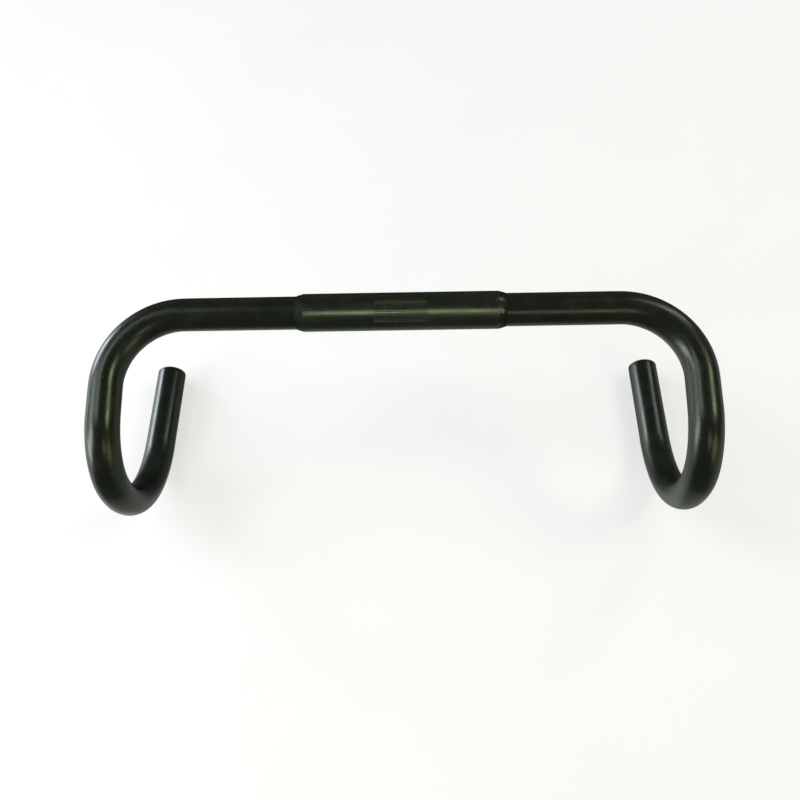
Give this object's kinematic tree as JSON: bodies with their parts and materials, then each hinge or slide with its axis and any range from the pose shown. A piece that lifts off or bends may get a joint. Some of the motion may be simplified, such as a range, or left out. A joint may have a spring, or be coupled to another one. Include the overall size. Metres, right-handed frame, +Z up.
{
  "type": "drop handlebar",
  "caption": "Bare bicycle drop handlebar: one bent round steel tube with a pressed-on sleeve at the middle for the stem clamp, painted black.",
  "frame": {"origin": "middle of the stem clamp area, on the axis of the tops", "axes": "+X along the tops, -Y forwards as the bicycle travels, +Z up, with the cut ends level and pointing to +Y"},
  "size_m": [0.4122, 0.1581, 0.166],
  "materials": {
    "tube_paint": "semi-gloss black paint over drawn steel tube, bare metal showing in a thin line at the cut ends",
    "sleeve_paint": "semi-gloss black paint over turned steel, with a very slight green tint"
  },
  "bodies": {
    "root": {"bar_tube": "tube_paint", "centre_sleeve": "sleeve_paint"}
  },
  "joints": []
}
